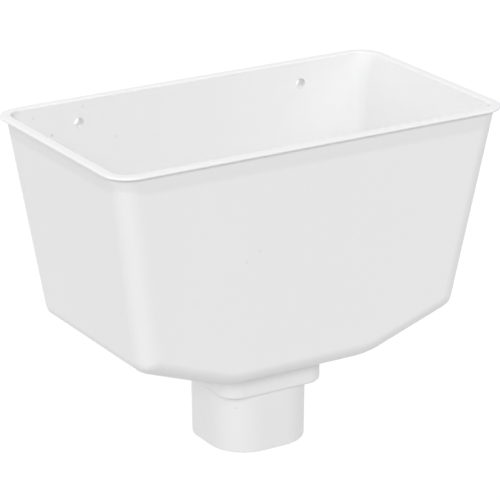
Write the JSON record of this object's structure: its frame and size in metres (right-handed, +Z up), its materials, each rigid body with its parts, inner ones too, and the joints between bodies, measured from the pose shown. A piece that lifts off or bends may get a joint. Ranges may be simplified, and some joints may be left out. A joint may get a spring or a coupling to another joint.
{
  "type": "downpipe hopper head",
  "caption": "White moulded rainwater hopper head: an open box with a lipped rim and a sloping floor that drains through a square collar and spigot into a square downpipe.",
  "frame": {"origin": "on the wall, midway between the two screw holes", "axes": "+X along the wall, to the right seen from the front; +Y into the wall; +Z up"},
  "size_m": [0.25, 0.1428, 0.1942],
  "materials": {
    "white_plastic": "semi-gloss moulded white plastic, lightly handled"
  },
  "bodies": {
    "root": {"hopper_head": "white_plastic"}
  },
  "joints": []
}
